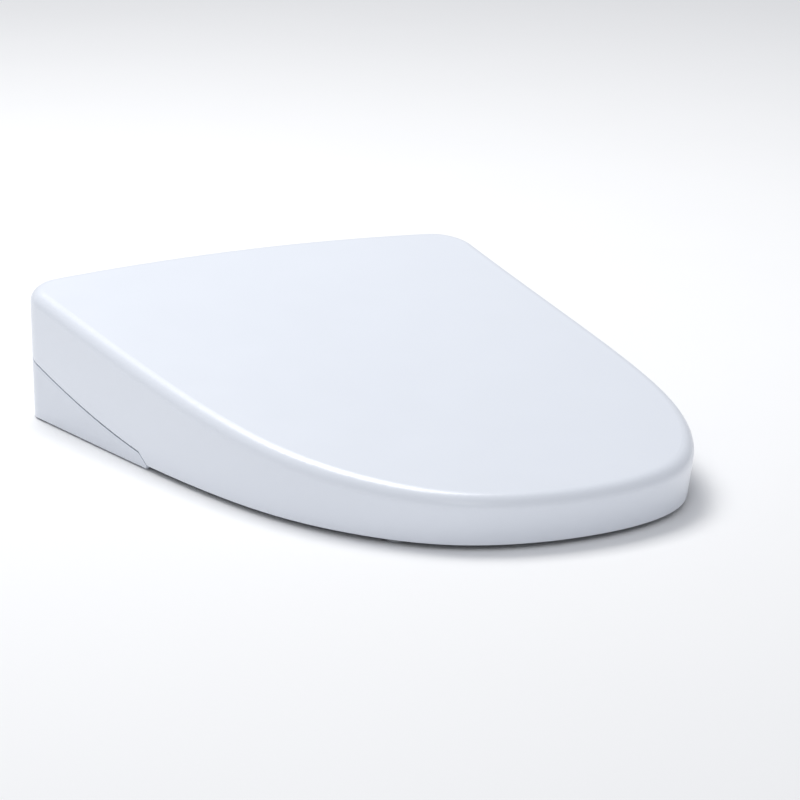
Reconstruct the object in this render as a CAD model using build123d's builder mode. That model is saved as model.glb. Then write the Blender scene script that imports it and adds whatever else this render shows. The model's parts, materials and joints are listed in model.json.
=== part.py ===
"""Electric bidet seat for an elongated toilet bowl: lid, heated seat, base unit and its works.

Millimetres. +Z up, -Y towards the front of the bowl, +X to the left of a seated user.
The origin lies on the rim plane, midway between the two fixing bolts.
"""
import os
from math import cos, pi, radians, sin, sqrt

from build123d import *

os.makedirs("parts", exist_ok=True)

# ---- reach of the cutting shapes, past the object on every side -----------------------------------
ACROSS = (-230.0, 230.0)
AHEAD, BEHIND = -520.0, 90.0
UNDER, OVER = -40.0, 140.0

# ---- lid -----------------------------------------------------------------------------------------
LID_BACK = 61.0                 # rear face of the lid, behind the bolt line
LID_LENGTH = 531.0              # rear face to front tip, at the lid's widest height
LID_FRONT = LID_BACK - LID_LENGTH
LID_HALF_WIDTH = 193.0
LID_WALL = 3.0
LID_EDGE_ROUND = 10.0           # rounding between the lid's top and its skirt
LID_CORNER = 30.0               # rounding of the rear corners in plan
LID_HEIGHT_BACK = 110.5         # top surface on the centre line, at the rear face
LID_HEIGHT_FRONT = 39.5         # top surface on the centre line, at the front tip
LID_SAG = 4.0                   # how far the top line dips under its chord at mid length
CROWN_RADIUS = 2660.0           # the top is this round across the width
FRONT_LEAN = 0.27               # the front of the skirt leans in by this much per mm of height
SIDE_LEAN = 0.022               # the sides lean out by this much,
WIDEST_AT = 60.0                # and are the stated width apart at this height
SKIRT_LIFT = 3.5                # gap between the skirt's front edge and the rim
LIP_EDGE = 74.0                 # lower edge of the short rear wall between the hinges
# outline of the lid: share of its length from the rear, and share of its half width there
STATIONS = ((0.25, 0.980), (0.42, 0.959), (0.58, 0.922), (0.73, 0.842), (0.86, 0.687), (0.94, 0.510))

# ---- seam between the lid's skirt and the side covers, as (y, z) ---------------------------------
NOSE_FOOT = -142.0
NOSE_TOP = (-131.0, 10.4)
SEAM_MIDDLE = (-37.0, 26.3)
SEAM_REAR = (70.0, 55.2)
SEAM_GAP = 1.3

# ---- hinges: seat arms and lid ears turn on one pin each side ------------------------------------
AXIS = (45.0, 86.0)             # y, z of the hinge line
PIN_R = 4.0
RUNNING = 0.05                  # radial clearance of a running fit
BARREL = (98.0, 146.0)          # damper barrels, distances off the centre plane
BARREL_R = 12.0
NECK = (132.0, 146.0)           # the arm of the case that carries each barrel
NECK_FOOT, NECK_Z = 12.5, (81.0, 95.0)
ARM = (149.0, 161.0)            # the seat's arms
ARM_R = 9.5
EAR = (162.5, 170.0)            # the lid's ears
EAR_R = 9.0
EAR_TOP = 99.3                  # the ears run up to the lid's underside
NOTCH = (130.0, 162.0)          # the rear lip is open here for the necks and the seat's arms
NOTCH_Z = (60.0, 98.0)
DAMPER_R = 9.2

# ---- case ----------------------------------------------------------------------------------------
WALL = 2.5
HUMP_HALF = 146.0               # half width of the raised middle
CASE_HALF = 171.0               # half width with the low wings
CASE_FRONT, CASE_BACK = -74.0, 57.0
WING_TOP = 38.0
SPLIT_Z = 24.0                  # the pan's wall meets the top case here
PAN_FLOOR = (4.5, 7.0)
HUMP_ROUND = 5.0
COVE_R = 31.0                   # round hollow behind the hump, cleared by the lid's rear lip
HUMP_PROFILE = ((-74, 24), (-74, 62), (-60, 76), (15, 90), (57, 90), (57, 24))
COVER_IN = 171.5                # side covers start this far off the centre plane
SENSORS_Z = (46.0, 58.0)        # both windows in the hump's front face
RECEIVER_X = (60.0, 84.0)
OCCUPANCY_X = (-104.0, -72.0)
INDICATOR_AT, INDICATOR_R = (44.0, 52.0), 3.0
THROUGH_FRONT = (-90.0, -60.0)  # a cut along this y range passes the case's front wall
THROUGH_BACK = (50.0, 70.0)     # and along this one its rear wall

# ---- mounting ------------------------------------------------------------------------------------
BOLT_SPACING = 140.0
BOLT_HOLE_R = 4.25
PLATE_HALF, PLATE_DEPTH, PLATE_THICK = 115.0, 38.0, 3.6
HEAD_ROOM = 13.0                # half width of the pan's slots for the bolt heads

# ---- seat ----------------------------------------------------------------------------------------
SEAT_BACK = -80.0
SEAT_INSET = 7.0                # seat outline inside the lid's
SEAT_WALL = 3.0
SEAT_BOTTOM = 8.0
SEAT_ROUND = 11.0
SEAT_CORNER = 22.0
SEAT_PROFILE = ((-50, 67), (-260, 47), (-490, 33))
OPENING = (-253.0, 102.0, 145.0)    # centre y, half width and half length of the seat's opening
TUNNEL = (66.0, 34.0)           # half width and height of the gap under the seat's rear bridge

# ---- nozzle --------------------------------------------------------------------------------------
NOZZLE_TILT = 12.0              # degrees below level
NOZZLE_TIP = (-58.0, 20.0)      # y, z of the tip's centre, drawn in
WAND_R = 7.0
WAND_WALL = 1.5
WAND_LENGTH = 104.0
TIP_LENGTH = 12.0
GEAR_MODULE = 1.0
PINION_TEETH = 12
PINION_X = (-4.0, 4.0)
RACK_BASE = 7.0                 # the rack's teeth stand on the wand at this height
PITCH_LINE = RACK_BASE + 2.3
PINION_AT = -14.0               # along the wand, behind the tip
SPINDLE_R = 1.5                 # of every small motor


# ---- helpers that work in the current builder ----------------------------------------------------
def slab(x, y, z, mode=Mode.ADD):
    """A box between two corners, each axis given as (low, high)."""
    with Locations(((x[0] + x[1]) / 2, (y[0] + y[1]) / 2, (z[0] + z[1]) / 2)):
        return Box(x[1] - x[0], y[1] - y[0], z[1] - z[0], mode=mode)


def rod(axis, run, centre, radius, mode=Mode.ADD):
    """A cylinder along "x", "y" or "z" between the two ends in run; centre holds its other coordinates."""
    middle, turn = (run[0] + run[1]) / 2, {"x": (0, 90, 0), "y": (90, 0, 0), "z": (0, 0, 0)}[axis]
    place = {
        "x": (middle, centre[0], centre[1]),
        "y": (centre[0], middle, centre[1]),
        "z": (centre[0], centre[1], middle),
    }[axis]
    with Locations(Location(place, turn)):
        return Cylinder(radius, abs(run[1] - run[0]), mode=mode)


def span(side, near, far):
    """A low-to-high X range from two distances off the centre plane."""
    return (near, far) if side > 0 else (-far, -near)


def write(builder, name):
    builder.part.label = name
    export_step(builder.part, f"parts/{name}.step")


# ---- shared forms --------------------------------------------------------------------------------
def plan_outline(z, half_width, back, front, corner):
    """Plan outline at height z: straight rear, round corners, tapering to a blunt nose."""
    length = back - front
    side = [(half_width, back - corner)]
    side += [(half_width * width, back - share * length) for share, width in STATIONS]
    side += [(0, front)]
    with BuildSketch(Plane.XY.offset(z)) as outline:
        with BuildLine():
            Line((0, back), (half_width - corner, back))
            CenterArc((half_width - corner, back - corner), corner, 0, 90)
            Spline(*side, tangents=[(-0.04, -1), (-1, 0)])
            mirror(about=Plane.YZ)
        make_face()
    return outline.sketch


def crown_cap(points, drop):
    """A solid whose top runs drop below the three (y, z) points and is round across the width."""
    (y0, z0), (y1, z1), (y2, z2) = [(y, z - drop) for y, z in points]
    with BuildPart() as cap:
        with BuildSketch(Plane.YZ):
            with BuildLine():
                ThreePointArc((y0, z0), (y1, z1), (y2, z2))
                Polyline((y2, z2), (y2, UNDER), (y0, UNDER), (y0, z0))
            make_face()
        length = sqrt((y0 - y2) ** 2 + (z0 - z2) ** 2)
        along = Vector(0, (y0 - y2) / length, (z0 - z2) / length)
        below = Vector(0, (y0 + y2) / 2, (z0 + z2) / 2) - Vector(0, -along.Z, along.Y) * CROWN_RADIUS
        axis = Axis(below, along)
        revolve(axis=axis, revolution_arc=14)
    return cap.part.rotate(axis, -7)


def lid_top(y):
    """Height of the lid's top surface on the centre line."""
    share = (LID_BACK - y) / LID_LENGTH
    fall = LID_HEIGHT_BACK - LID_HEIGHT_FRONT
    return LID_HEIGHT_BACK - fall * share - 4 * LID_SAG * share * (1 - share)


LID_PROFILE = [(y, lid_top(y)) for y in (LID_BACK + 16, (LID_BACK + LID_FRONT) / 2, LID_FRONT - 32)]


def skirt_form(inset, profile, drop, edge_round):
    """The lid's skirt drawn in by inset, under a crowned top, with a rounded top edge."""
    rise = LID_HEIGHT_FRONT - 7
    sections = []
    for z in (0.0, LID_HEIGHT_BACK + 5.5):
        half = LID_HALF_WIDTH + SIDE_LEAN * (z - WIDEST_AT) - inset
        front = LID_FRONT - FRONT_LEAN * (z - rise) + inset
        sections.append(plan_outline(z, half, LID_BACK - inset, front, LID_CORNER - inset))
    with BuildPart() as form:
        loft(sections)
        add(crown_cap(profile, drop), mode=Mode.INTERSECT)
        if edge_round > 0:
            fillet(form.faces().sort_by(Axis.Z)[-1].edges(), edge_round)
    return form.part


def below_seam(lift):
    """Side view of everything under the seam, lifted by lift, as a sketch outside the object."""
    with BuildSketch(Plane.YZ.offset(ACROSS[0])) as side:
        with BuildLine():
            Polyline((SEAM_REAR[0], SEAM_REAR[1] + lift), (SEAM_REAR[0], UNDER), (NOSE_FOOT - lift, UNDER),
                     (NOSE_FOOT - lift, SKIRT_LIFT), (NOSE_TOP[0], NOSE_TOP[1] + lift))
            ThreePointArc((NOSE_TOP[0], NOSE_TOP[1] + lift), (SEAM_MIDDLE[0], SEAM_MIDDLE[1] + lift),
                          (SEAM_REAR[0], SEAM_REAR[1] + lift))
        make_face()
    return side.sketch


# ---- lid -----------------------------------------------------------------------------------------
lid_outside = skirt_form(0, LID_PROFILE, 0, LID_EDGE_ROUND)
lid_hollow = skirt_form(LID_WALL, LID_PROFILE, LID_WALL, LID_EDGE_ROUND - LID_WALL)
with BuildPart() as lid_shell:
    add(lid_outside)
    add(lid_hollow, mode=Mode.SUBTRACT)
    slab(ACROSS, (AHEAD, BEHIND), (UNDER, SKIRT_LIFT), mode=Mode.SUBTRACT)
    extrude(below_seam(SEAM_GAP), amount=ACROSS[1] - ACROSS[0], mode=Mode.SUBTRACT)
    slab((-EAR[1] - 1, EAR[1] + 1), (LID_BACK - 12, BEHIND), (UNDER, LIP_EDGE), mode=Mode.SUBTRACT)
    for side in (1, -1):
        rod("x", span(side, *EAR), AXIS, EAR_R)
        slab(span(side, *EAR), (AXIS[0] - EAR_R, AXIS[0] + EAR_R), (AXIS[1], EAR_TOP))
        rod("x", span(side, *EAR), AXIS, PIN_R + RUNNING, mode=Mode.SUBTRACT)
        slab(span(side, *NOTCH), (LID_BACK - 4.5, BEHIND), NOTCH_Z, mode=Mode.SUBTRACT)
write(lid_shell, "lid_shell")

LID_BUMPERS = ((118, -330), (74, -415))
BUMPER_R = 6.0
BUMPER_REST = 0.6               # the bumpers stop this far above the seat


def seat_top(x, y):
    """Height of the seat's top surface."""
    (y0, z0), (y1, z1), (y2, z2) = SEAT_PROFILE
    first = z0 * (y - y1) * (y - y2) / ((y0 - y1) * (y0 - y2))
    second = z1 * (y - y0) * (y - y2) / ((y1 - y0) * (y1 - y2))
    third = z2 * (y - y0) * (y - y1) / ((y2 - y0) * (y2 - y1))
    return first + second + third - x * x / (2 * CROWN_RADIUS)


with BuildPart() as lid_bumpers:
    for x, y in LID_BUMPERS:
        for side in (1, -1):
            rod("z", (seat_top(x, y) + BUMPER_REST, LID_HEIGHT_BACK), (side * x, y), BUMPER_R)
    add(lid_hollow, mode=Mode.INTERSECT)
write(lid_bumpers, "lid_bumpers")

# ---- seat ----------------------------------------------------------------------------------------
seat_outside = skirt_form(SEAT_INSET, SEAT_PROFILE, 0, 0)
seat_hollow = skirt_form(SEAT_INSET + SEAT_WALL, SEAT_PROFILE, SEAT_WALL, 0)


def opening(grow, low, high):
    """The gap through the seat, grown all round, between two heights."""
    centre, half_width, half_length = OPENING
    with BuildPart() as gap:
        with BuildSketch(Plane.XY.offset(low)):
            with Locations((0, centre)):
                Ellipse(half_width + grow, half_length + grow)
        extrude(amount=high - low)
    return gap.part


def seat_body(form, grow, back, edge_round=0):
    """A ring from the given form, with its gap grown, its rear face at back and its top edges rounded."""
    with BuildPart() as ring:
        add(form)
        slab(ACROSS, (back, BEHIND), (UNDER, OVER), mode=Mode.SUBTRACT)
        slab(ACROSS, (AHEAD, BEHIND), (UNDER, SEAT_BOTTOM), mode=Mode.SUBTRACT)
        add(opening(grow, UNDER, OVER), mode=Mode.SUBTRACT)
        corners = ring.faces().sort_by(Axis.Y)[-1].edges()
        fillet([corners.sort_by(Axis.X)[0], corners.sort_by(Axis.X)[-1]], SEAT_CORNER - grow)
        if edge_round > 0:
            fillet(ring.faces().sort_by(Axis.Z)[-1].edges(), edge_round)
    return ring.part


tunnel_half, tunnel_top = TUNNEL
with BuildPart() as seat_top_shell:
    add(seat_body(seat_outside, 0, SEAT_BACK, SEAT_ROUND))
    add(seat_body(seat_hollow, SEAT_WALL, SEAT_BACK - SEAT_WALL, SEAT_ROUND - SEAT_WALL), mode=Mode.SUBTRACT)
    slab((-tunnel_half, tunnel_half), (-175, -60), (UNDER, tunnel_top), mode=Mode.SUBTRACT)
    for side in (1, -1):
        with BuildSketch(Plane.YZ.offset(span(side, *ARM)[0])):
            with BuildLine():
                Polyline((SEAT_BACK - 1.5, 36), (SEAT_BACK - 1.5, 60), (AXIS[0] - 2.4, AXIS[1] + 9.2),
                         (AXIS[0] + 5, AXIS[1] - 8.2), close=True)
            make_face()
        extrude(amount=ARM[1] - ARM[0])
        rod("x", span(side, *ARM), AXIS, ARM_R)
        rod("x", span(side, *ARM), AXIS, PIN_R + RUNNING, mode=Mode.SUBTRACT)
write(seat_top_shell, "seat_top_shell")

FIT = 0.2                       # the bottom shell sits inside the top one with this gap
with BuildPart() as seat_bottom_shell:
    slab(ACROSS, (AHEAD, -60), (SEAT_BOTTOM, SEAT_BOTTOM + WALL))
    slab((-tunnel_half - WALL, tunnel_half + WALL), (-190, -60), (SEAT_BOTTOM, tunnel_top + WALL))
    slab((-tunnel_half, tunnel_half), (-200, -50), (SEAT_BOTTOM, tunnel_top), mode=Mode.SUBTRACT)
    add(seat_body(skirt_form(SEAT_INSET + SEAT_WALL + FIT, SEAT_PROFILE, 6, 0), SEAT_WALL + FIT,
                  SEAT_BACK - SEAT_WALL - FIT), mode=Mode.INTERSECT)
write(seat_bottom_shell, "seat_bottom_shell")

FOIL = (3.3, 3.9)               # depth of the heater foil's faces under the seat's top
with BuildPart() as seat_heater_foil:
    add(seat_body(skirt_form(SEAT_INSET + 19, SEAT_PROFILE, FOIL[0], 0), 17, SEAT_BACK - 15))
    add(crown_cap(SEAT_PROFILE, FOIL[1]), mode=Mode.SUBTRACT)
write(seat_heater_foil, "seat_heater_foil")

SEAT_FEET = ((150, -150), (112, -395))
SEAT_FOOT_R = 9.0
with BuildPart() as seat_bumpers:
    for x, y in SEAT_FEET:
        for side in (1, -1):
            rod("z", (0, SEAT_BOTTOM), (side * x, y), SEAT_FOOT_R)
    chamfer(seat_bumpers.faces().sort_by(Axis.Z)[0:4].edges(), 1)
write(seat_bumpers, "seat_bumpers")

THERMOSTAT_AT, THERMOSTAT_Z = (145, -191), (38.5, 43.5)
with BuildPart() as seat_thermostat:
    x, y = THERMOSTAT_AT
    slab((x - 7, x + 7), (y - 9, y + 9), THERMOSTAT_Z)
    rod("z", (THERMOSTAT_Z[0] - 3, THERMOSTAT_Z[0]), THERMOSTAT_AT, 4.5)
write(seat_thermostat, "seat_thermostat")

# ---- base pan ------------------------------------------------------------------------------------
FLOOR_LOW, FLOOR_TOP = PAN_FLOOR
SCREWS = ((140, -62), (140, 44))
SCREW_R = 1.9
BOSS_R = 4.5
NOZZLE_GAP = 17.0               # half width of the nozzle's way through the front walls
NOZZLE_GAP_TOP = 34.0
DRY_OUTLET = ((22, 60), (12, 25))
INLET_X, INLET_Z, INLET_HOLE_R = -112.0, 23.0, 11.0
CORD_X, CORD_Z, GLAND_HOLE_R = 112.0, 15.0, 6.2
FILTER_X, FILTER_HOLE_R = -84.0, 6.2
DRAWER = ((100, 186), (-52, -16), (8.5, 18.5))
DRAWER_HOLE = ((DRAWER[1][0] - 0.5, DRAWER[1][1] + 0.5), (DRAWER[2][0] - 0.5, DRAWER[2][1] + 0.5))
with BuildPart() as base_pan:
    slab((-CASE_HALF, CASE_HALF), (CASE_FRONT, CASE_BACK), (FLOOR_LOW, SPLIT_Z))
    fillet(base_pan.edges().filter_by(Axis.Z), 6)
    inner = (CASE_HALF - WALL, CASE_FRONT + WALL, CASE_BACK - WALL)
    slab((-inner[0], inner[0]), (inner[1], inner[2]), (FLOOR_TOP, 60), mode=Mode.SUBTRACT)
    for side in (1, -1):
        rail = span(side, PLATE_HALF + 0.4, PLATE_HALF + 4.4)
        slab(rail, (-60, 52), (1.2, FLOOR_LOW))
        head_way = span(side, BOLT_SPACING / 2 - HEAD_ROOM, BOLT_SPACING / 2 + HEAD_ROOM)
        slab(head_way, (-HEAD_ROOM, BEHIND), (0, 12), mode=Mode.SUBTRACT)
        for x, y in SCREWS:
            rod("z", (0, 10), (side * x, y), SCREW_R + 0.3, mode=Mode.SUBTRACT)
    slab((-NOZZLE_GAP, NOZZLE_GAP), THROUGH_FRONT, (7.5, OVER), mode=Mode.SUBTRACT)
    slab(DRY_OUTLET[0], THROUGH_FRONT, (DRY_OUTLET[1][0], OVER), mode=Mode.SUBTRACT)
    for x, z, radius in ((INLET_X, INLET_Z, INLET_HOLE_R), (FILTER_X, INLET_Z, FILTER_HOLE_R),
                         (CORD_X, CORD_Z, GLAND_HOLE_R)):
        rod("y", THROUGH_BACK, (x, z), radius, mode=Mode.SUBTRACT)
    slab((150, 180), *DRAWER_HOLE, mode=Mode.SUBTRACT)
write(base_pan, "base_pan")

# ---- top case ------------------------------------------------------------------------------------
def hump(inset):
    """The case's raised middle with the cove behind it, drawn in by inset."""
    (front, base), (_, knee), slope, crest, back, _ = HUMP_PROFILE
    with BuildPart() as middle:
        with BuildSketch(Plane.YZ.offset(-HUMP_HALF + inset)):
            with BuildLine():
                Polyline((front + inset, base - inset), (front + inset, knee - inset * 0.4),
                         (slope[0] + inset * 0.6, slope[1] - inset), (crest[0], crest[1] - inset),
                         (back[0] - inset, back[1] - inset), (back[0] - inset, base - inset), close=True)
            make_face()
        extrude(amount=2 * (HUMP_HALF - inset))
        rod("x", ACROSS, AXIS, COVE_R + inset, mode=Mode.SUBTRACT)
        slab(ACROSS, (AXIS[0] - 6, BEHIND), (AXIS[1] - COVE_R - inset, OVER), mode=Mode.SUBTRACT)
        if inset == 0:
            sides = middle.faces().sort_by(Axis.X)
            rims = sides[0].edges() + sides[-1].edges()
            fillet(rims.filter_by(lambda rim: rim.center().Z > WING_TOP + 10), HUMP_ROUND)
    return middle.part


DAMPER_SEAT = (BARREL[0] - 1, BARREL[1] - 6)
with BuildPart() as top_case:
    slab((-CASE_HALF, CASE_HALF), (CASE_FRONT, CASE_BACK), (SPLIT_Z, WING_TOP))
    fillet(top_case.edges().filter_by(Axis.Z), 6)
    add(hump(0))
    slab((-CASE_HALF + WALL, CASE_HALF - WALL), (CASE_FRONT + WALL, CASE_BACK - WALL),
         (10, WING_TOP - WALL), mode=Mode.SUBTRACT)
    add(hump(WALL), mode=Mode.SUBTRACT)
    for side in (1, -1):
        for x, y in SCREWS:
            rod("z", (FLOOR_TOP, WING_TOP - 1), (side * x, y), BOSS_R)
            rod("z", (0, SPLIT_Z), (side * x, y), SCREW_R, mode=Mode.SUBTRACT)
        slab(span(side, *NECK), (NECK_FOOT, AXIS[0]), NECK_Z)
        rod("x", span(side, *BARREL), AXIS, BARREL_R)
        rod("x", span(side, *DAMPER_SEAT), AXIS, DAMPER_R, mode=Mode.SUBTRACT)
        rod("x", span(side, BARREL[0], BARREL[1] + 2), AXIS, PIN_R, mode=Mode.SUBTRACT)
    slab((-NOZZLE_GAP, NOZZLE_GAP), THROUGH_FRONT, (10, NOZZLE_GAP_TOP), mode=Mode.SUBTRACT)
    slab(DRY_OUTLET[0], THROUGH_FRONT, (10, DRY_OUTLET[1][1]), mode=Mode.SUBTRACT)
    slab(OCCUPANCY_X, THROUGH_FRONT, SENSORS_Z, mode=Mode.SUBTRACT)
    slab(RECEIVER_X, THROUGH_FRONT, SENSORS_Z, mode=Mode.SUBTRACT)
    rod("y", THROUGH_FRONT, INDICATOR_AT, INDICATOR_R, mode=Mode.SUBTRACT)
    rod("y", THROUGH_BACK, (INLET_X, INLET_Z), INLET_HOLE_R, mode=Mode.SUBTRACT)
    rod("y", THROUGH_BACK, (FILTER_X, INLET_Z), FILTER_HOLE_R, mode=Mode.SUBTRACT)
write(top_case, "top_case")

with BuildPart() as receiver_window:
    slab(RECEIVER_X, (CASE_FRONT, CASE_FRONT + 2), SENSORS_Z)
write(receiver_window, "receiver_window")
with BuildPart() as occupancy_sensor_window:
    slab(OCCUPANCY_X, (CASE_FRONT, CASE_FRONT + 2), SENSORS_Z)
write(occupancy_sensor_window, "occupancy_sensor_window")
with BuildPart() as indicator_lens:
    rod("y", (CASE_FRONT, CASE_FRONT + 4), INDICATOR_AT, INDICATOR_R)
write(indicator_lens, "indicator_lens")

# ---- side covers ---------------------------------------------------------------------------------
COVER_LIFT = 1.0
COVER_WALL = 2.6
RELEASE_AT, RELEASE_R = (5.0, 20.0), 7.0
POWER_AT, POWER_R = (32.0, 26.0), 5.0
cover_inside = skirt_form(COVER_WALL, LID_PROFILE, LID_WALL, 0)


def cover(side):
    """One side cover: the skirt's form below the seam, open towards the case and the bowl."""
    with BuildPart() as block:
        add(lid_outside)
        extrude(below_seam(0), amount=ACROSS[1] - ACROSS[0], mode=Mode.INTERSECT)
        slab(span(side, COVER_IN, ACROSS[1]), (AHEAD, BEHIND), (COVER_LIFT, OVER), mode=Mode.INTERSECT)
    with BuildPart() as hollow:
        add(cover_inside)
        extrude(below_seam(-COVER_WALL), amount=ACROSS[1] - ACROSS[0], mode=Mode.INTERSECT)
        slab(span(side, COVER_IN - 2, ACROSS[1]), (AHEAD, BEHIND), (UNDER, OVER), mode=Mode.INTERSECT)
    with BuildPart() as beside_seat:
        add(cover_inside)
        slab(span(side, 100, ACROSS[1]), (AHEAD, CASE_FRONT - 3), (UNDER, OVER), mode=Mode.INTERSECT)
    return block.part, hollow.part, beside_seat.part


with BuildPart() as side_cover_right:
    outside, inside, beside_seat = cover(-1)
    add(outside)
    add(inside, mode=Mode.SUBTRACT)
    add(beside_seat, mode=Mode.SUBTRACT)
write(side_cover_right, "side_cover_right")

with BuildPart() as side_cover_left:
    outside, inside, beside_seat = cover(1)
    add(outside)
    add(inside, mode=Mode.SUBTRACT)
    add(beside_seat, mode=Mode.SUBTRACT)
    rod("x", (180, 200), RELEASE_AT, RELEASE_R + 0.3, mode=Mode.SUBTRACT)
    rod("x", (180, 200), POWER_AT, POWER_R + 0.3, mode=Mode.SUBTRACT)
    slab((172, 200), *DRAWER_HOLE, mode=Mode.SUBTRACT)
write(side_cover_left, "side_cover_left")

BUTTON_RUN = (176.0, 194.0)
with BuildPart() as release_button:
    rod("x", BUTTON_RUN, RELEASE_AT, RELEASE_R)
    fillet(release_button.edges().sort_by(Axis.X)[-1], 1.5)
write(release_button, "release_button")
with BuildPart() as power_button:
    rod("x", BUTTON_RUN, POWER_AT, POWER_R)
    fillet(power_button.edges().sort_by(Axis.X)[-1], 1.5)
write(power_button, "power_button")

# ---- hinges and dampers --------------------------------------------------------------------------
PIN_HEAD, PIN_HEAD_R = (EAR[1] + 0.3, EAR[1] + 2.8), 6.5
with BuildPart() as hinge_pins:
    for side in (1, -1):
        rod("x", span(side, DAMPER_SEAT[1] + 0.5, PIN_HEAD[1]), AXIS, PIN_R)
        rod("x", span(side, *PIN_HEAD), AXIS, PIN_HEAD_R)
write(hinge_pins, "hinge_pins")
for side, name in ((1, "lid_damper"), (-1, "seat_damper")):
    with BuildPart() as damper:
        rod("x", span(side, BARREL[0], DAMPER_SEAT[1] - 0.3), AXIS, DAMPER_R)
        rod("x", span(side, BARREL[0] - 3, BARREL[0]), AXIS, 6)
    write(damper, name)

# ---- mounting ------------------------------------------------------------------------------------
with BuildPart() as mounting_plate:
    slab((-PLATE_HALF, PLATE_HALF), (-PLATE_DEPTH, PLATE_DEPTH), (0, PLATE_THICK))
    fillet(mounting_plate.edges().filter_by(Axis.Z), 10)
    with Locations((0, 0, PLATE_THICK / 2)):
        with GridLocations(BOLT_SPACING, 1, 2, 1):
            Cylinder(BOLT_HOLE_R, PLATE_THICK, mode=Mode.SUBTRACT)
write(mounting_plate, "mounting_plate")
BUSH_R, BUSH_HEIGHT = 9.0, 2.4
with BuildPart() as plate_bushes:
    with Locations((0, 0, PLATE_THICK + BUSH_HEIGHT / 2)):
        with GridLocations(BOLT_SPACING, 1, 2, 1):
            Cylinder(BUSH_R, BUSH_HEIGHT)
            Cylinder(BOLT_HOLE_R, BUSH_HEIGHT, mode=Mode.SUBTRACT)
write(plate_bushes, "plate_bushes")
FOOT_X, FOOT_Y, FOOT_R = 155.0, (-58.0, 40.0), 8.0
with BuildPart() as base_feet:
    for side in (1, -1):
        for y in FOOT_Y:
            rod("z", (0, FLOOR_LOW), (side * FOOT_X, y), FOOT_R)
write(base_feet, "base_feet")
SCREW_HEAD_Z, SCREW_HEAD_R, SCREW_TIP_Z = 2.3, 3.8, 20.0
with BuildPart() as case_screws:
    for side in (1, -1):
        for x, y in SCREWS:
            rod("z", (SCREW_HEAD_Z, FLOOR_LOW), (side * x, y), SCREW_HEAD_R)
            rod("z", (FLOOR_LOW, SCREW_TIP_Z), (side * x, y), SCREW_R)
write(case_screws, "case_screws")

# ---- nozzle, drawn along its own axis ------------------------------------------------------------
tilt = radians(NOZZLE_TILT)
WAND = Plane(origin=(0, *NOZZLE_TIP), x_dir=(1, 0, 0), z_dir=(0, -cos(tilt), -sin(tilt)))
PITCH_R = GEAR_MODULE * PINION_TEETH / 2
GUIDE = 0.08                    # radial clearance of the wand's front guide
with BuildPart(WAND) as wand_tube:
    rod("z", (-WAND_LENGTH, -TIP_LENGTH), (0, 0), WAND_R)
    rod("z", (-WAND_LENGTH + 2, -TIP_LENGTH), (0, 0), WAND_R - WAND_WALL, mode=Mode.SUBTRACT)
write(wand_tube, "wand_tube")
SPRAY_HOLES, SPRAY_HOLE_R = (-4.0, -8.0), 0.7
with BuildPart(WAND) as wand_tip:
    rod("z", (-TIP_LENGTH, 0), (0, 0), WAND_R)
    fillet(wand_tip.edges().sort_by(Axis.Y)[0], 2.5)
    for along in SPRAY_HOLES:
        rod("y", (3, 8), (0, along), SPRAY_HOLE_R, mode=Mode.SUBTRACT)
write(wand_tip, "wand_tip")

RACK = (-WAND_LENGTH + 1, -TIP_LENGTH + 1)
with BuildPart(WAND) as wand_rack:
    slab((-2.5, 2.5), (6.6, PITCH_LINE - 1.25), RACK)
    rod("z", RACK, (0, 0), WAND_R, mode=Mode.SUBTRACT)
    pitch = pi * GEAR_MODULE
    with BuildSketch(Plane(WAND.origin, x_dir=WAND.z_dir, z_dir=WAND.x_dir)) as teeth:
        with BuildLine():
            Polyline((-1.1, -PITCH_LINE + 1.3), (-0.3, -PITCH_LINE - 0.9), (0.3, -PITCH_LINE - 0.9),
                     (1.1, -PITCH_LINE + 1.3), close=True)
        make_face()
    for step in range(-28, 1):
        along = PINION_AT + pitch * (step + 0.5)
        if RACK[0] + 1.2 < along < RACK[1] - 1.2:
            moved = teeth.sketch.moved(Location(WAND.z_dir * along - WAND.x_dir * 2.5))
            extrude(moved, amount=5, dir=(1, 0, 0))
write(wand_rack, "wand_rack")

PINION = Plane(WAND.from_local_coords((0, PITCH_LINE + PITCH_R, PINION_AT)), x_dir=-WAND.y_dir,
               z_dir=(1, 0, 0))
with BuildPart(PINION) as wand_pinion:
    rod("z", PINION_X, (0, 0), PITCH_R - 1.25)
    with BuildSketch(PINION.offset(PINION_X[0])) as tooth:
        with BuildLine():
            Polyline((PITCH_R - 1.6, -0.9), (PITCH_R, -0.55), (PITCH_R + 0.9, -0.25), (PITCH_R + 0.9, 0.25),
                     (PITCH_R, 0.55), (PITCH_R - 1.6, 0.9), close=True)
        make_face()
        with PolarLocations(0, PINION_TEETH - 1, start_angle=360 / PINION_TEETH,
                            angular_range=360 - 360 / PINION_TEETH, endpoint=False):
            add(tooth.faces()[0])
    extrude(amount=PINION_X[1] - PINION_X[0])
    rod("z", (PINION_X[1], 21), (0, 0), SPINDLE_R)
write(wand_pinion, "wand_pinion")

HOUSING = ((-12.5, 12.5), (-9.6, 6.4))      # across and upright, square to the wand
RACK_SLOT = ((-3.4, 3.4), (0, 20))
with BuildPart(WAND) as nozzle_housing:
    slab(*HOUSING, (-WAND_LENGTH - 4, -4))
    rod("z", (-WAND_LENGTH - 1, 0), (0, 0), WAND_R + 1.2, mode=Mode.SUBTRACT)
    slab(*RACK_SLOT, (-WAND_LENGTH - 1, 0), mode=Mode.SUBTRACT)
    slab(*HOUSING, (-12, -4))
    rod("z", (-13, 0), (0, 0), WAND_R + GUIDE, mode=Mode.SUBTRACT)
    slab(*RACK_SLOT, (-13, 0), mode=Mode.SUBTRACT)
write(nozzle_housing, "nozzle_housing")

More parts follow.
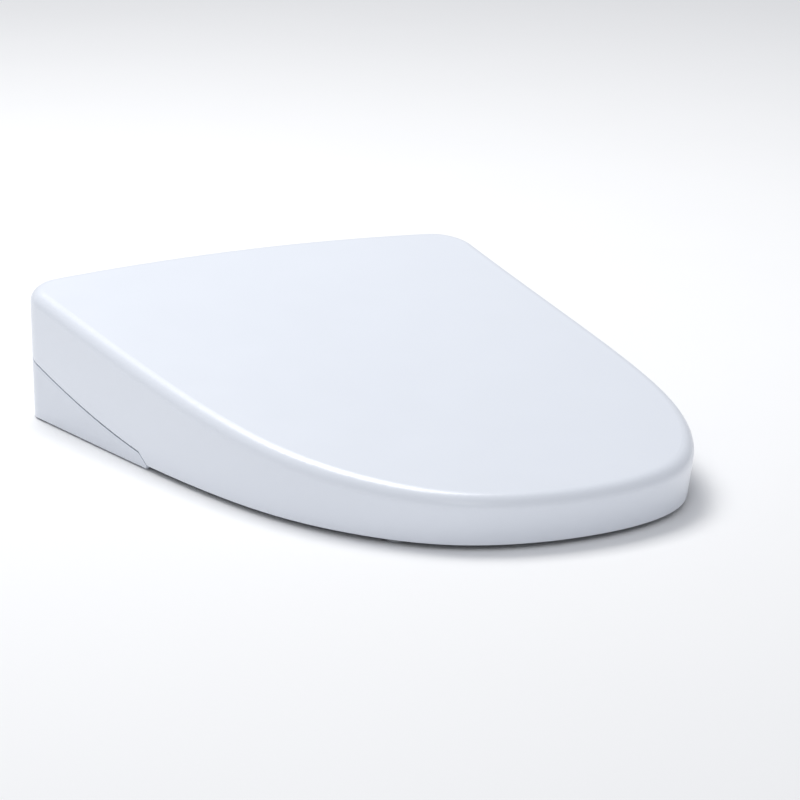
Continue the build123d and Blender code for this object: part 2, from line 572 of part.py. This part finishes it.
MOTOR_BOSS, MOTOR_RUN = (16, 20), (20, 41)
with BuildPart(PINION) as nozzle_motor:
    rod("z", MOTOR_BOSS, (0, 0), 3.5)
    rod("z", MOTOR_RUN, (0, 0), 9)
    rod("z", (MOTOR_BOSS[0] - 1, MOTOR_RUN[0] + 2), (0, 0), SPINDLE_R + RUNNING, mode=Mode.SUBTRACT)
write(nozzle_motor, "nozzle_motor")

with BuildPart() as wand_collar:
    slab((-NOZZLE_GAP + FIT, NOZZLE_GAP - FIT), (CASE_FRONT + 0.3, CASE_FRONT + 3.3),
         (7.7, NOZZLE_GAP_TOP - FIT))
    with BuildSketch(WAND.offset(10)):
        Circle(WAND_R + 0.3)
    extrude(amount=16, both=True, mode=Mode.SUBTRACT)
    slab((-3.4, 3.4), (-90, -60), (18, 29), mode=Mode.SUBTRACT)
write(wand_collar, "wand_collar")

# ---- water; the boxes are x, y and z ranges -------------------------------------------------------
VALVE = ((-126, -72), (22, 54), (12, 34))
NIPPLE_R, NIPPLE_BORE_R, NIPPLE_END = 10.45, 6.0, 71.0
NIPPLE_FOOT = CASE_BACK + 0.3   # a slightly wider collar ends here
PLUG_R, PLUG_HEAD_R, PLUG_END = 5.0, 9.0, 64.0
PLUG_HEAD = CASE_BACK + 0.4
HEATER = ((-130, -86), (-62, 2), (13, 50))
FLOW = ((-56, -30), (-56, -30), (9, 30))
CELL_AT, CELL_RUN, CELL_R = (-42, 20), (0, 18), 9.0
PUMP = ((-56, -26), (20, 46), (8, 34))
HOSE_R = 3.0
HOSES = (
    ((-108, 24, 29), (-108, 16, 31), (-108, 8, 31), (-108, 0, 29)),
    ((-88, -42, 26), (-78, -42, 26), (-68, -42, 24), (-54, -42, 22)),
    ((-42, -32, 20), (-42, -22, 21), (-42, -8, 21), (-42, 2, 20)),
)
with BuildPart() as inlet_valve:
    slab(*VALVE)
    fillet(inlet_valve.edges().filter_by(Axis.Y), 3)
    rod("y", (VALVE[1][1], NIPPLE_FOOT), (INLET_X, INLET_Z), NIPPLE_R + 0.3)
    rod("y", (NIPPLE_FOOT, NIPPLE_END), (INLET_X, INLET_Z), NIPPLE_R)
    rod("y", (30, NIPPLE_END), (INLET_X, INLET_Z), NIPPLE_BORE_R, mode=Mode.SUBTRACT)
    rod("y", (26, 60), (FILTER_X, INLET_Z), PLUG_R + 0.3, mode=Mode.SUBTRACT)
write(inlet_valve, "inlet_valve")
with BuildPart() as inlet_filter_plug:
    rod("y", (28, PLUG_HEAD), (FILTER_X, INLET_Z), PLUG_R)
    rod("y", (PLUG_HEAD, PLUG_END), (FILTER_X, INLET_Z), PLUG_HEAD_R)
    coin_slot = (FILTER_X - 1.2, FILTER_X + 1.2)
    slab(coin_slot, (PLUG_END - 2.5, BEHIND), (UNDER, OVER), mode=Mode.SUBTRACT)
write(inlet_filter_plug, "inlet_filter_plug")
with BuildPart() as water_heater:
    slab(*HEATER)
    fillet(water_heater.edges().filter_by(Axis.Y), 8)
    rod("z", (HEATER[2][1], HEATER[2][1] + 4), (-108, -46), 5)
write(water_heater, "water_heater")
with BuildPart() as flow_valve:
    slab(*FLOW)
    rod("z", (FLOW[2][1], FLOW[2][1] + 10), (-43, -43), 9)
write(flow_valve, "flow_valve")
with BuildPart() as electrolysis_cell:
    rod("y", CELL_RUN, CELL_AT, CELL_R)
write(electrolysis_cell, "electrolysis_cell")
with BuildPart() as air_pump:
    slab(*PUMP)
    fillet(air_pump.edges().filter_by(Axis.Z), 5)
write(air_pump, "air_pump")


def hose(*points):
    """A round hose bent smoothly through the given points."""
    with BuildPart() as tube:
        with BuildLine() as route:
            Spline(*points)
        with BuildSketch(Plane(route.line @ 0, z_dir=route.line % 0)):
            Circle(HOSE_R)
        sweep()
    return tube.part


with BuildPart() as water_hoses:
    for route in HOSES:
        add(hose(*route))
    for fitting in (inlet_valve, water_heater, flow_valve, electrolysis_cell):
        add(fitting.part, mode=Mode.SUBTRACT)
write(water_hoses, "water_hoses")

# ---- warm air ------------------------------------------------------------------------------------
FAN_AT, FAN_R, FAN_X = (2.0, 40.0), 27.0, (34.0, 60.0)
FAN_WALL = 2.0
FAN_EYE_R = 12.0                # the fan draws its air in through this hole
THROAT_X = (FAN_X[0] + 3, FAN_X[1] - 3)
THROAT_Z = (13.5, 28.5)
THROAT_BORE = ((THROAT_X[0] + FAN_WALL, THROAT_X[1] - FAN_WALL), (-36, 0),
               (THROAT_Z[0] + FAN_WALL, THROAT_Z[1] - FAN_WALL))
DUCT_BACK = -32.0
DISC_X = (FAN_X[1] - 5, FAN_X[1] - 3.5)
DISC_R, HUB_R = 21.0, 4.0
BLADES, BLADE_RING_R, BLADE, BLADE_SET = 16, 17.0, (7.0, 1.0), 35.0
with BuildPart() as dryer_fan_case:
    rod("x", FAN_X, FAN_AT, FAN_R)
    slab(THROAT_X, (DUCT_BACK, 0), THROAT_Z)
    rod("x", (FAN_X[0] + FAN_WALL, FAN_X[1] - FAN_WALL), FAN_AT, FAN_R - FAN_WALL, mode=Mode.SUBTRACT)
    slab(*THROAT_BORE, mode=Mode.SUBTRACT)
    rod("x", (FAN_X[0] - 1, FAN_X[0] + 3), FAN_AT, FAN_EYE_R, mode=Mode.SUBTRACT)
    rod("x", (FAN_X[1] - 3, FAN_X[1] + 1), FAN_AT, HUB_R, mode=Mode.SUBTRACT)
write(dryer_fan_case, "dryer_fan_case")
with BuildPart() as dryer_impeller:
    rod("x", DISC_X, FAN_AT, DISC_R)
    rod("x", (FAN_X[0] + 5, DISC_X[0]), FAN_AT, HUB_R)
    with BuildSketch(Plane(origin=(FAN_X[0] + 5, *FAN_AT), x_dir=(0, 1, 0), z_dir=(1, 0, 0))):
        with PolarLocations(BLADE_RING_R, BLADES):
            Rectangle(*BLADE, rotation=BLADE_SET)
    extrude(amount=DISC_X[0] - FAN_X[0] - 5)
    rod("x", (DISC_X[1], FAN_X[1] + 6), FAN_AT, SPINDLE_R)
write(dryer_impeller, "dryer_impeller")
with BuildPart() as dryer_motor:
    rod("x", (FAN_X[1], FAN_X[1] + 22), FAN_AT, 13)
    rod("x", (FAN_X[1] - 1, FAN_X[1] + 8), FAN_AT, SPINDLE_R + RUNNING, mode=Mode.SUBTRACT)
write(dryer_motor, "dryer_motor")
with BuildPart() as dryer_duct:
    (x0, x1), (z0, z1) = DRY_OUTLET
    slab((x0 + 0.5, x1 - 0.5), (-71, DUCT_BACK), (z0 + 0.5, z1 + 3.5))
    slab((x0 + 2.5, x1 - 2.5), (-72, DUCT_BACK - FAN_WALL), (z0 + 2.5, z1 - 2), mode=Mode.SUBTRACT)
    slab(*THROAT_BORE, mode=Mode.SUBTRACT)
write(dryer_duct, "dryer_duct")
SHUTTER_AXIS, SHUTTER_FOOT = (-76.0, 28.5), 10.5
with BuildPart() as dryer_shutter:
    slab((x0 - 1, x1 + 1), (CASE_FRONT - 2.6, CASE_FRONT - 0.8), (SHUTTER_FOOT, SHUTTER_AXIS[1]))
    rod("x", (x0 - 1, x1 + 1), SHUTTER_AXIS, 1.6)
write(dryer_shutter, "dryer_shutter")

# ---- deodorizer ----------------------------------------------------------------------------------
SCENT_AT = (120.0, -34.0)
SCENT_CASE_Z, SCENT_CASE_R, SCENT_WALL = (22, 42), 20.0, 1.6
SCENT_DISC_Z = (37.0, 38.5)
with BuildPart() as deodorizer_fan_case:
    rod("z", SCENT_CASE_Z, SCENT_AT, SCENT_CASE_R)
    rod("z", (24, 40), SCENT_AT, SCENT_CASE_R - SCENT_WALL, mode=Mode.SUBTRACT)
    rod("z", (21, 25), SCENT_AT, 9, mode=Mode.SUBTRACT)
    rod("z", (39, 43), SCENT_AT, 3.5, mode=Mode.SUBTRACT)
    slab((SCENT_AT[0] - 6, SCENT_AT[0] + 6), (-60, -50), (26, 36), mode=Mode.SUBTRACT)
write(deodorizer_fan_case, "deodorizer_fan_case")
with BuildPart() as deodorizer_impeller:
    rod("z", SCENT_DISC_Z, SCENT_AT, 16)
    rod("z", (26, SCENT_DISC_Z[0]), SCENT_AT, 3)
    with BuildSketch(Plane.XY.offset(27)):
        with Locations(SCENT_AT):
            with PolarLocations(12.5, 12):
                Rectangle(5.5, 1, rotation=BLADE_SET)
    extrude(amount=SCENT_DISC_Z[0] - 27)
    rod("z", (SCENT_DISC_Z[1], 46), SCENT_AT, SPINDLE_R)
write(deodorizer_impeller, "deodorizer_impeller")
with BuildPart() as deodorizer_motor:
    rod("z", (SCENT_CASE_Z[1], 62), SCENT_AT, 11)
    rod("z", (SCENT_CASE_Z[1] - 1, 48), SCENT_AT, SPINDLE_R + RUNNING, mode=Mode.SUBTRACT)
write(deodorizer_motor, "deodorizer_motor")
with BuildPart() as deodorizer_filter:
    slab(*DRAWER)
    tray = (DRAWER[1][0] + 3, DRAWER[1][1] - 3)
    slab((104, 136), tray, (DRAWER[2][0] + 2, OVER), mode=Mode.SUBTRACT)
    slab((DRAWER[0][1], 191.5), DRAWER[1], DRAWER[2])
write(deodorizer_filter, "deodorizer_filter")

# ---- electrics: each board is its x, y and z range, then those of what stands on it ---------------
CONTROL_BOARD = (((-134, -40), (-56, 4), (60, 61.6)), ((-120, -100), (-40, -20), (61.6, 66)),
                 ((-84, -72), (-46, -34), (61.6, 70)), ((-60, -48), (-30, -10), (61.6, 72)),
                 ((-134, -128), (-40, -10), (54, 60)))
POWER_BOARD = (((88, 134), (18, 52), (21.5, 23.1)), ((92, 112), (22, 42), (23.1, 44)),
               ((116, 130), (24, 40), (23.1, 36)))
for blocks, name in ((CONTROL_BOARD, "control_board"), (POWER_BOARD, "power_board")):
    with BuildPart() as board:
        for block in blocks:
            slab(*block)
    write(board, name)
GLAND_R, GLAND_BORE_R, GLAND_END = 8.0, 3.6, 66.0
with BuildPart() as cord_gland:
    rod("y", (50, CASE_BACK), (CORD_X, CORD_Z), GLAND_HOLE_R)
    rod("y", (CASE_BACK, GLAND_END), (CORD_X, CORD_Z), GLAND_R)
    rod("y", (48, GLAND_END + 1), (CORD_X, CORD_Z), GLAND_BORE_R, mode=Mode.SUBTRACT)
write(cord_gland, "cord_gland")
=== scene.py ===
import json
from math import cos, pi, radians, sin

import bmesh
import bpy
from mathutils import Matrix, Vector


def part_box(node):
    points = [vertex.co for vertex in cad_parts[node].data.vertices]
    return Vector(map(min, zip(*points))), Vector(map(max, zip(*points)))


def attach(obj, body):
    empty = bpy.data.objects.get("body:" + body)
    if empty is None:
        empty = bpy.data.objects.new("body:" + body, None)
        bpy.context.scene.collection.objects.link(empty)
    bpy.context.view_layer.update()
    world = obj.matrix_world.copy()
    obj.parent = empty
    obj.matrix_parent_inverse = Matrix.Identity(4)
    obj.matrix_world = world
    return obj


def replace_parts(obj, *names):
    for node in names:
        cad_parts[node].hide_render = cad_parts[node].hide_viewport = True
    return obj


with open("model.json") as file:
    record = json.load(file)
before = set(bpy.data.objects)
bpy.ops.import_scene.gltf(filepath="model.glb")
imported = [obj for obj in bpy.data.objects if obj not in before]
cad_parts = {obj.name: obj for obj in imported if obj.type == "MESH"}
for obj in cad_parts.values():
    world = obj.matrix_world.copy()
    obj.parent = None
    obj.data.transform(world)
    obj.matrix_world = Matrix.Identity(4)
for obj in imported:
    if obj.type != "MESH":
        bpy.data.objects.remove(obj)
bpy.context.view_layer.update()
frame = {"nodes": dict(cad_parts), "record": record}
nodes = frame["nodes"]


# ---- materials -----------------------------------------------------------------------------------
def finish(name, colour, rough, metal=0.0, coat=0.0, tint=0.03, mottle=60.0, grain=900.0, bump=0.02,
           wear=0.06, stretch=(1, 1, 1), glow=0.0, depth=0.0):
    """A procedural finish: tint varies the colour, wear the roughness, bump raises a fine grain."""
    material = bpy.data.materials.new(name)
    material.use_nodes = True
    tree = material.node_tree
    shader = tree.nodes["Principled BSDF"]
    shader.inputs["Metallic"].default_value = metal
    shader.inputs["Coat Weight"].default_value = coat
    shader.inputs["Coat Roughness"].default_value = 0.24
    shader.inputs["Subsurface Weight"].default_value = depth
    shader.inputs["Subsurface Radius"].default_value = (0.004, 0.004, 0.005)
    if glow > 0:
        shader.inputs["Emission Color"].default_value = (*colour, 1)
        shader.inputs["Emission Strength"].default_value = glow
    place = tree.nodes.new("ShaderNodeTexCoord")
    scale = tree.nodes.new("ShaderNodeMapping")
    scale.inputs["Scale"].default_value = stretch
    tree.links.new(place.outputs["Object"], scale.inputs["Vector"])

    def noise(size, detail):
        texture = tree.nodes.new("ShaderNodeTexNoise")
        texture.inputs["Scale"].default_value = size
        texture.inputs["Detail"].default_value = detail
        tree.links.new(scale.outputs["Vector"], texture.inputs["Vector"])
        return texture.outputs["Fac"]

    patches = noise(mottle, 1.5)
    ramp = tree.nodes.new("ShaderNodeValToRGB")
    ramp.color_ramp.elements[0].position = 0.1
    ramp.color_ramp.elements[1].position = 0.9
    ramp.color_ramp.elements[0].color = (*[c * (1 - tint) for c in colour], 1)
    ramp.color_ramp.elements[1].color = (*[min(1, c * (1 + tint)) for c in colour], 1)
    tree.links.new(patches, ramp.inputs["Fac"])
    tree.links.new(ramp.outputs["Color"], shader.inputs["Base Color"])

    spread = tree.nodes.new("ShaderNodeMapRange")
    spread.inputs["To Min"].default_value = max(0.02, rough - wear)
    spread.inputs["To Max"].default_value = min(1, rough + wear)
    tree.links.new(noise(mottle * 2.7, 2), spread.inputs["Value"])
    tree.links.new(spread.outputs["Result"], shader.inputs["Roughness"])

    relief = tree.nodes.new("ShaderNodeBump")
    relief.inputs["Strength"].default_value = bump
    relief.inputs["Distance"].default_value = 0.0004
    tree.links.new(noise(grain, 1), relief.inputs["Height"])
    tree.links.new(relief.outputs["Normal"], shader.inputs["Normal"])
    return material


FINISHES = {
    "lid_plastic": finish("lid_plastic", (0.80, 0.835, 0.90), 0.34, coat=0.3, tint=0.006, mottle=9,
                          grain=240, bump=0.02),
    "seat_plastic": finish("seat_plastic", (0.82, 0.845, 0.885), 0.26, coat=0.3, tint=0.002, mottle=9,
                           grain=240, bump=0.02),
    "seat_underside": finish("seat_underside", (0.66, 0.69, 0.74), 0.5, tint=0.02, bump=0.12),
    "case_plastic": finish("case_plastic", (0.78, 0.81, 0.86), 0.34, coat=0.1, tint=0.012, bump=0.08),
    "cover_plastic": finish("cover_plastic", (0.74, 0.775, 0.84), 0.32, coat=0.15, tint=0.01, mottle=14,
                            bump=0.06),
    "pan_plastic": finish("pan_plastic", (0.58, 0.60, 0.63), 0.55, tint=0.03, bump=0.2),
    "plate_plastic": finish("plate_plastic", (0.62, 0.63, 0.64), 0.5, tint=0.03, bump=0.2),
    "button_plastic": finish("button_plastic", (0.55, 0.58, 0.63), 0.4, tint=0.02, bump=0.08),
    "soft_rubber": finish("soft_rubber", (0.34, 0.35, 0.37), 0.7, tint=0.05, bump=0.3, wear=0.1),
    "steel": finish("steel", (0.62, 0.63, 0.64), 0.26, metal=1, tint=0.03, stretch=(1, 0.08, 1), bump=0.1),
    "motor_can": finish("motor_can", (0.50, 0.51, 0.52), 0.38, metal=1, tint=0.05, bump=0.1),
    "tip_plastic": finish("tip_plastic", (0.86, 0.86, 0.84), 0.25, coat=0.3, tint=0.01),
    "acetal": finish("acetal", (0.80, 0.79, 0.74), 0.42, tint=0.02, bump=0.06),
    "fan_plastic": finish("fan_plastic", (0.07, 0.075, 0.08), 0.5, tint=0.12, bump=0.2),
    "valve_brass": finish("valve_brass", (0.68, 0.50, 0.24), 0.3, metal=1, tint=0.05, bump=0.12),
    "works_plastic": finish("works_plastic", (0.40, 0.41, 0.42), 0.5, tint=0.05, bump=0.2),
    "hose_silicone": finish("hose_silicone", (0.70, 0.70, 0.67), 0.45, tint=0.03, depth=0.2),
    "heater_foil": finish("heater_foil", (0.75, 0.75, 0.76), 0.35, metal=1, tint=0.04, bump=0.2),
    "sensor_body": finish("sensor_body", (0.03, 0.03, 0.035), 0.5, tint=0.1),
    "circuit_board": finish("circuit_board", (0.02, 0.12, 0.05), 0.4, tint=0.15, coat=0.3),
    "dark_window": finish("dark_window", (0.012, 0.012, 0.016), 0.12, coat=0.6, tint=0.1),
    "lamp_lens": finish("lamp_lens", (0.25, 0.55, 0.80), 0.2, coat=0.4, glow=0.4),
}
for part in frame["record"]["subparts"]:
    mesh = nodes[part["node"]].data
    mesh.materials.clear()
    mesh.materials.append(FINISHES[part["material_slot"]])

# ---- small pieces --------------------------------------------------------------------------------
MM = 0.001


def piece(name, mesh, material, body, round_mm=0.0):
    """Turns a bmesh into an object that rides on a body, with its edges rounded if asked."""
    data = bpy.data.meshes.new(name)
    bmesh.ops.recalc_face_normals(mesh, faces=mesh.faces)
    mesh.to_mesh(data)
    mesh.free()
    for face in data.polygons:
        face.use_smooth = True
    data.set_sharp_from_angle(angle=radians(35))
    made = bpy.data.objects.new(name, data)
    bpy.context.collection.objects.link(made)
    data.materials.append(FINISHES[material])
    if round_mm > 0:
        edge = made.modifiers.new("round", "BEVEL")
        edge.width = round_mm * MM
        edge.segments = 3
        edge.limit_method = "ANGLE"
        edge.harden_normals = True
    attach(made, body)
    return made


def block(mesh, low, high):
    """Adds a box between two corners."""
    low, high = Vector(low), Vector(high)
    place = Matrix.Translation((low + high) / 2) @ Matrix.Diagonal((*(high - low), 1))
    bmesh.ops.create_cube(mesh, size=1, matrix=place)


def turned(mesh, profile, place, steps=32):
    """Adds a closed turned shape from (radius, height) pairs, first and last on the axis."""
    rings = []
    for radius, height in profile:
        if radius == 0:
            rings.append([mesh.verts.new(place @ Vector((0, 0, height)))])
        else:
            turns = [2 * pi * i / steps for i in range(steps)]
            rings.append([mesh.verts.new(place @ Vector((radius * cos(a), radius * sin(a), height)))
                          for a in turns])
    for lower, upper in zip(rings, rings[1:]):
        for i in range(steps):
            j = (i + 1) % steps
            corners = [lower[i % len(lower)], lower[j % len(lower)],
                       upper[j % len(upper)], upper[i % len(upper)]]
            mesh.faces.new(list(dict.fromkeys(corners)))


# screws that hold the seat's two shells together, seen when the seat is up
ring_low, ring_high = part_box("seat_bottom_shell")
ring_front, ring_rear = ring_low.y, ring_high.y
ring_middle = Vector((0, ring_front + 0.547 * (ring_rear - ring_front)))
SCREW_REACH = (0.775 * ring_high.x, 0.460 * (ring_rear - ring_front))
SCREW_ANGLES = (-68, -28, 14, 38)
SCREW_HEAD = [(radius * MM, height * MM) for radius, height in (
    (0, 0), (3.6, 0), (3.6, 0.7), (3.2, 1.3), (2.2, 1.7), (1.3, 1.85), (1.1, 0.9), (0, 0.7))]
screws = bmesh.new()
for side in (1, -1):
    for angle in SCREW_ANGLES:
        spot = Vector((side * SCREW_REACH[0] * cos(radians(angle)),
                       ring_middle.y + SCREW_REACH[1] * sin(radians(angle)), ring_low.z))
        down = Matrix.Translation(spot) @ Matrix.Rotation(pi, 4, "X")
        turned(screws, SCREW_HEAD, down)
piece("seat_shell_screws", screws, "steel", "seat")

# air intake of the deodorizer, in the front of the case
SLATS = 7
GRILLE_X = (0.094, 0.136)
GRILLE_DEPTH = 0.7 * MM
GRILLE_RIM = 2 * MM
SLAT_HALF = 1.1 * MM
case_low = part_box("top_case")[0]
front = case_low.y
grille_left, grille_right = GRILLE_X
grille_low, grille_high = case_low.z + 18 * MM, case_low.z + 30 * MM
pitch = (grille_right - grille_left) / SLATS
grille = bmesh.new()
for bottom, top in ((grille_low - GRILLE_RIM, grille_low), (grille_high, grille_high + GRILLE_RIM)):
    block(grille, (grille_left - GRILLE_RIM, front - GRILLE_DEPTH, bottom),
          (grille_right + GRILLE_RIM, front, top))
for slat in range(SLATS + 1):
    middle = grille_left + slat * pitch
    block(grille, (middle - SLAT_HALF, front - GRILLE_DEPTH, grille_low),
          (middle + SLAT_HALF, front, grille_high))
piece("intake_grille", grille, "case_plastic", "main_unit", 0.25)
# near-black sheet laid on the case face between the slats: painted shade standing in for the dark depth of
# an intake, as the case has no opening behind the grille
shade_sheet = bmesh.new()
block(shade_sheet, (grille_left, front - 0.15 * MM, grille_low),
      (grille_right, front - 0.02 * MM, grille_high))
piece("intake_painted_shade", shade_sheet, "fan_plastic", "main_unit")

MARK_RISE = 0.18 * MM             # height of a button's mark over the floor of its dish
MARK_ROOT = -0.05 * MM            # its foot is sunk by this much
RING_STEPS = 40


def ring_mark(mesh, centre, radius, width, opening):
    """Adds a raised ring on the +X face, left open at the top by the given angle."""
    rows = []
    for i in range(RING_STEPS + 1):
        turn = radians(90 + opening / 2) + i / RING_STEPS * radians(360 - opening)
        way = Vector((0, cos(turn), sin(turn)))
        rows.append([mesh.verts.new(centre + way * (radius + across) + Vector((height, 0, 0)))
                     for across, height in ((-width / 2, MARK_ROOT), (-width / 4, MARK_RISE),
                                            (width / 4, MARK_RISE), (width / 2, MARK_ROOT))])
    for first, second in zip(rows, rows[1:]):
        for k in range(4):
            mesh.faces.new((first[k], first[(k + 1) % 4], second[(k + 1) % 4], second[k]))
    mesh.faces.new(rows[0])
    mesh.faces.new(rows[-1][::-1])


# dished caps for the two side buttons, marked with a stroke in a ring for power and a bar for release
for button, body, stroke in (("power_button", "power", True), ("release_button", "release", False)):
    low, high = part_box(button)
    size = (high.z - low.z) / 2
    length = high.x - low.x
    foot = Vector((low.x, (low.y + high.y) / 2, (low.z + high.z) / 2))
    cap = bmesh.new()
    rim = [(size - inward * MM, length - below * MM) for inward, below in (
        (0, 1.3), (0.3, 0.6), (0.7, 0.2), (1.2, 0), (1.5, 0.1), (1.9, 0.5))]
    along_x = Matrix.Translation(foot) @ Matrix.Rotation(pi / 2, 4, "Y")
    turned(cap, [(0, 0), (size, 0), *rim, (0, length - 0.6 * MM)], along_x, 48)
    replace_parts(piece(button + "_cap", cap, "button_plastic", body), button)
    face = foot + Vector((length - 0.5 * MM, 0, 0))
    mark = bmesh.new()
    if stroke:
        ring_mark(mark, face, size * 0.46, 0.7 * MM, 70)
        block(mark, face + Vector((MARK_ROOT, -0.35 * MM, size * 0.08)),
              face + Vector((MARK_RISE, 0.35 * MM, size * 0.62)))
    else:
        block(mark, face + Vector((MARK_ROOT, -size * 0.5, -0.5 * MM)),
              face + Vector((MARK_RISE, size * 0.5, 0.5 * MM)))
    piece(button + "_mark", mark, "works_plastic", body)

# ---- floor, light and camera ---------------------------------------------------------------------
bpy.ops.mesh.primitive_plane_add(size=30, location=(0, 0, -0.0005))
floor = bpy.context.object
floor.name = "floor"
floor.data.materials.append(finish("floor_paint", (0.93, 0.93, 0.93), 0.7, tint=0.004, mottle=3))

world = bpy.data.worlds.new("studio")
bpy.context.scene.world = world
world.use_nodes = True
world.node_tree.nodes["Background"].inputs["Color"].default_value = (0.93, 0.95, 1.0, 1)
world.node_tree.nodes["Background"].inputs["Strength"].default_value = 0.50


def softbox(name, place, target, size, power):
    """A square soft light at place, aimed at target."""
    lamp = bpy.data.lights.new(name, "AREA")
    lamp.size = size
    lamp.energy = power
    holder = bpy.data.objects.new(name, lamp)
    bpy.context.collection.objects.link(holder)
    holder.location = place
    holder.rotation_euler = (Vector(target) - Vector(place)).to_track_quat("-Z", "Y").to_euler()


CENTRE = (0, -0.2, 0.05)
softbox("key", (-0.15, 0.8, 2.2), CENTRE, 1.3, 41)
softbox("fill", (-1.4, -2.2, 1.3), CENTRE, 1.1, 6)
bpy.context.scene.view_settings.view_transform = "Standard"

camera = bpy.data.cameras.new("camera")
camera.lens = 215
viewer = bpy.data.objects.new("camera", camera)
bpy.context.collection.objects.link(viewer)
eye, aim = Vector((-1.680, -3.210, 0.932)), Vector((-0.005, -0.205, 0.045))
viewer.location = eye
viewer.rotation_euler = (aim - eye).to_track_quat("-Z", "Y").to_euler()
bpy.context.scene.camera = viewer
